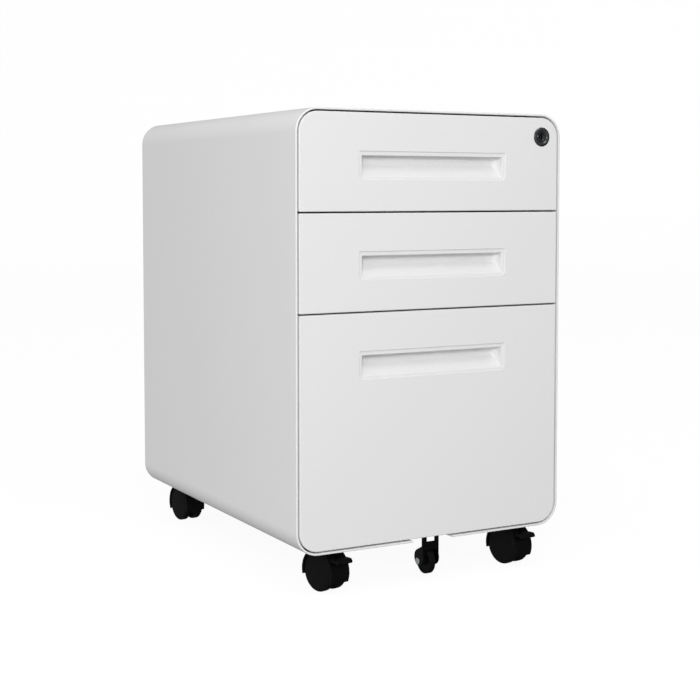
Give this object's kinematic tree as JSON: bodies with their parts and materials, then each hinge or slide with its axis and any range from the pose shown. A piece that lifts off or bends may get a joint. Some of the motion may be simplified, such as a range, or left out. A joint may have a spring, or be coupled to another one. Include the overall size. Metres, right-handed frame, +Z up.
{
  "type": "filing cabinet",
  "caption": "Mobile metal filing cabinet with small drawers over a file drawer, on telescopic slides, with finger-cup pulls, a central lock and twin-wheel casters.",
  "frame": {"origin": "on the floor, under the middle of the cabinet's box", "axes": "+X to the right as seen from the front, +Y from the drawer fronts to the back, +Z up"},
  "size_m": [0.39, 0.5214, 0.6],
  "materials": {
    "cabinet_enamel": "white fine-texture powder coat, satin",
    "drawer_enamel": "white powder coat, satin",
    "zinc_plate": "bright zinc plated steel",
    "ball_steel": "polished ball steel in a zinc cage",
    "lock_chrome": "polished chrome plate",
    "lock_plug_metal": "dark nickel, turned",
    "caster_nylon": "black moulded nylon",
    "wheel_nylon": "black moulded nylon tread",
    "bracket_enamel": "black painted steel"
  },
  "bodies": {
    "cabinet": {"shell": "cabinet_enamel", "back_panel": "cabinet_enamel", "slide_posts": "zinc_plate", "caster_plates": "zinc_plate", "caster_stems": "zinc_plate", "lock_bar_guides": "zinc_plate", "top_slide_outers": "zinc_plate", "middle_slide_outers": "zinc_plate", "file_slide_outers": "zinc_plate"},
    "top_drawer": {"top_drawer_front": "cabinet_enamel", "top_drawer_pull": "cabinet_enamel", "top_drawer_box": "drawer_enamel", "top_slide_inners": "zinc_plate", "lock_housing": "lock_chrome", "lock_nut": "zinc_plate"},
    "middle_drawer": {"middle_drawer_front": "cabinet_enamel", "middle_drawer_pull": "cabinet_enamel", "middle_drawer_box": "drawer_enamel", "middle_slide_inners": "zinc_plate"},
    "file_drawer": {"file_drawer_front": "cabinet_enamel", "file_drawer_pull": "cabinet_enamel", "file_drawer_box": "drawer_enamel", "file_slide_inners": "zinc_plate", "hanging_rails": "zinc_plate", "anti_tip_bracket": "bracket_enamel", "anti_tip_axle": "zinc_plate", "anti_tip_screws": "zinc_plate"},
    "top_slide_outer_balls": {"top_slide_outer_balls": "ball_steel"},
    "top_slide_middles": {"top_slide_middles": "zinc_plate"},
    "top_slide_inner_balls": {"top_slide_inner_balls": "ball_steel"},
    "middle_slide_outer_balls": {"middle_slide_outer_balls": "ball_steel"},
    "middle_slide_middles": {"middle_slide_middles": "zinc_plate"},
    "middle_slide_inner_balls": {"middle_slide_inner_balls": "ball_steel"},
    "file_slide_outer_balls": {"file_slide_outer_balls": "ball_steel"},
    "file_slide_middles": {"file_slide_middles": "zinc_plate"},
    "file_slide_inner_balls": {"file_slide_inner_balls": "ball_steel"},
    "lock_plug": {"lock_plug": "lock_plug_metal", "lock_cam": "zinc_plate"},
    "lock_bar": {"lock_bar": "zinc_plate", "lock_bar_tabs": "zinc_plate"},
    "anti_tip_wheel": {"anti_tip_wheel": "wheel_nylon"},
    "front_left_caster": {"front_left_caster_hood": "caster_nylon", "front_left_caster_axle": "zinc_plate"},
    "front_left_caster_left_wheel": {"front_left_caster_left_wheel": "wheel_nylon"},
    "front_left_caster_right_wheel": {"front_left_caster_right_wheel": "wheel_nylon"},
    "front_left_brake_lever": {"front_left_brake_lever": "caster_nylon"},
    "front_right_caster": {"front_right_caster_hood": "caster_nylon", "front_right_caster_axle": "zinc_plate"},
    "front_right_caster_left_wheel": {"front_right_caster_left_wheel": "wheel_nylon"},
    "front_right_caster_right_wheel": {"front_right_caster_right_wheel": "wheel_nylon"},
    "front_right_brake_lever": {"front_right_brake_lever": "caster_nylon"},
    "rear_left_caster": {"rear_left_caster_hood": "caster_nylon", "rear_left_caster_axle": "zinc_plate"},
    "rear_left_caster_left_wheel": {"rear_left_caster_left_wheel": "wheel_nylon"},
    "rear_left_caster_right_wheel": {"rear_left_caster_right_wheel": "wheel_nylon"},
    "rear_right_caster": {"rear_right_caster_hood": "caster_nylon", "rear_right_caster_axle": "zinc_plate"},
    "rear_right_caster_left_wheel": {"rear_right_caster_left_wheel": "wheel_nylon"},
    "rear_right_caster_right_wheel": {"rear_right_caster_right_wheel": "wheel_nylon"}
  },
  "joints": [
    {"name": "top_drawer_slide", "type": "slide", "parent": "cabinet", "child": "top_drawer", "axis": [0, -1, 0], "range_m": [0, 0.43]},
    {"name": "top_slide_outer_balls_run", "type": "slide", "parent": "cabinet", "child": "top_slide_outer_balls", "axis": [0, -1, 0], "range_m": [0, 0.1075]},
    {"name": "top_slide_middles_run", "type": "slide", "parent": "cabinet", "child": "top_slide_middles", "axis": [0, -1, 0], "range_m": [0, 0.215]},
    {"name": "top_slide_inner_balls_run", "type": "slide", "parent": "cabinet", "child": "top_slide_inner_balls", "axis": [0, -1, 0], "range_m": [0, 0.3225]},
    {"name": "middle_drawer_slide", "type": "slide", "parent": "cabinet", "child": "middle_drawer", "axis": [0, -1, 0], "range_m": [0, 0.43]},
    {"name": "middle_slide_outer_balls_run", "type": "slide", "parent": "cabinet", "child": "middle_slide_outer_balls", "axis": [0, -1, 0], "range_m": [0, 0.1075]},
    {"name": "middle_slide_middles_run", "type": "slide", "parent": "cabinet", "child": "middle_slide_middles", "axis": [0, -1, 0], "range_m": [0, 0.215]},
    {"name": "middle_slide_inner_balls_run", "type": "slide", "parent": "cabinet", "child": "middle_slide_inner_balls", "axis": [0, -1, 0], "range_m": [0, 0.3225]},
    {"name": "file_drawer_slide", "type": "slide", "parent": "cabinet", "child": "file_drawer", "axis": [0, -1, 0], "range_m": [0, 0.43]},
    {"name": "file_slide_outer_balls_run", "type": "slide", "parent": "cabinet", "child": "file_slide_outer_balls", "axis": [0, -1, 0], "range_m": [0, 0.1075]},
    {"name": "file_slide_middles_run", "type": "slide", "parent": "cabinet", "child": "file_slide_middles", "axis": [0, -1, 0], "range_m": [0, 0.215]},
    {"name": "file_slide_inner_balls_run", "type": "slide", "parent": "cabinet", "child": "file_slide_inner_balls", "axis": [0, -1, 0], "range_m": [0, 0.3225]},
    {"name": "lock_turn", "type": "hinge", "parent": "top_drawer", "child": "lock_plug", "pos_m": [0.165, -0.25925, 0.5705], "axis": [0, 1, 0], "range_deg": [0, 90]},
    {"name": "lock_bar_drop", "type": "slide", "parent": "cabinet", "child": "lock_bar", "axis": [0, 0, -1], "range_m": [0, 0.008]},
    {"name": "anti_tip_wheel_spin", "type": "hinge", "parent": "file_drawer", "child": "anti_tip_wheel", "pos_m": [0, -0.24125, 0.025], "axis": [1, 0, 0], "continuous": true},
    {"name": "front_left_caster_swivel", "type": "hinge", "parent": "cabinet", "child": "front_left_caster", "pos_m": [-0.14, -0.20325, 0.04], "axis": [0, 0, 1], "continuous": true},
    {"name": "front_left_caster_left_wheel_spin", "type": "hinge", "parent": "front_left_caster", "child": "front_left_caster_left_wheel", "pos_m": [-0.13573, -0.22176, 0.025], "axis": [0.9744, 0.225, 0], "continuous": true},
    {"name": "front_left_caster_right_wheel_spin", "type": "hinge", "parent": "front_left_caster", "child": "front_left_caster_right_wheel", "pos_m": [-0.13573, -0.22176, 0.025], "axis": [0.9744, 0.225, 0], "continuous": true},
    {"name": "front_left_brake_press", "type": "hinge", "parent": "front_left_caster", "child": "front_left_brake_lever", "pos_m": [-0.13303, -0.23345, 0.037], "axis": [0.9744, 0.225, 0], "range_deg": [0, 15]},
    {"name": "front_right_caster_swivel", "type": "hinge", "parent": "cabinet", "child": "front_right_caster", "pos_m": [0.14, -0.20325, 0.04], "axis": [0, 0, 1], "continuous": true},
    {"name": "front_right_caster_left_wheel_spin", "type": "hinge", "parent": "front_right_caster", "child": "front_right_caster_left_wheel", "pos_m": [0.1433, -0.22196, 0.025], "axis": [0.9848, 0.1736, 0], "continuous": true},
    {"name": "front_right_caster_right_wheel_spin", "type": "hinge", "parent": "front_right_caster", "child": "front_right_caster_right_wheel", "pos_m": [0.1433, -0.22196, 0.025], "axis": [0.9848, 0.1736, 0], "continuous": true},
    {"name": "front_right_brake_press", "type": "hinge", "parent": "front_right_caster", "child": "front_right_brake_lever", "pos_m": [0.14538, -0.23378, 0.037], "axis": [0.9848, 0.1736, 0], "range_deg": [0, 15]},
    {"name": "rear_left_caster_swivel", "type": "hinge", "parent": "cabinet", "child": "rear_left_caster", "pos_m": [-0.14, 0.20475, 0.04], "axis": [0, 0, 1], "continuous": true},
    {"name": "rear_left_caster_left_wheel_spin", "type": "hinge", "parent": "rear_left_caster", "child": "rear_left_caster_left_wheel", "pos_m": [-0.14199, 0.22365, 0.025], "axis": [-0.9945, -0.1045, 0], "continuous": true},
    {"name": "rear_left_caster_right_wheel_spin", "type": "hinge", "parent": "rear_left_caster", "child": "rear_left_caster_right_wheel", "pos_m": [-0.14199, 0.22365, 0.025], "axis": [-0.9945, -0.1045, 0], "continuous": true},
    {"name": "rear_right_caster_swivel", "type": "hinge", "parent": "cabinet", "child": "rear_right_caster", "pos_m": [0.14, 0.20475, 0.04], "axis": [0, 0, 1], "continuous": true},
    {"name": "rear_right_caster_left_wheel_spin", "type": "hinge", "parent": "rear_right_caster", "child": "rear_right_caster_left_wheel", "pos_m": [0.14199, 0.22365, 0.025], "axis": [-0.9945, 0.1045, 0], "continuous": true},
    {"name": "rear_right_caster_right_wheel_spin", "type": "hinge", "parent": "rear_right_caster", "child": "rear_right_caster_right_wheel", "pos_m": [0.14199, 0.22365, 0.025], "axis": [-0.9945, 0.1045, 0], "continuous": true}
  ],
  "couplings": [
    {"joint": "top_slide_outer_balls_run", "follows": "top_drawer_slide", "ratio": 0.25},
    {"joint": "top_slide_middles_run", "follows": "top_drawer_slide", "ratio": 0.5},
    {"joint": "top_slide_inner_balls_run", "follows": "top_drawer_slide", "ratio": 0.75},
    {"joint": "middle_slide_outer_balls_run", "follows": "middle_drawer_slide", "ratio": 0.25},
    {"joint": "middle_slide_middles_run", "follows": "middle_drawer_slide", "ratio": 0.5},
    {"joint": "middle_slide_inner_balls_run", "follows": "middle_drawer_slide", "ratio": 0.75},
    {"joint": "file_slide_outer_balls_run", "follows": "file_drawer_slide", "ratio": 0.25},
    {"joint": "file_slide_middles_run", "follows": "file_drawer_slide", "ratio": 0.5},
    {"joint": "file_slide_inner_balls_run", "follows": "file_drawer_slide", "ratio": 0.75},
    {"joint": "lock_turn", "follows": "lock_bar_drop", "rad_per_m": 196.35}
  ]
}
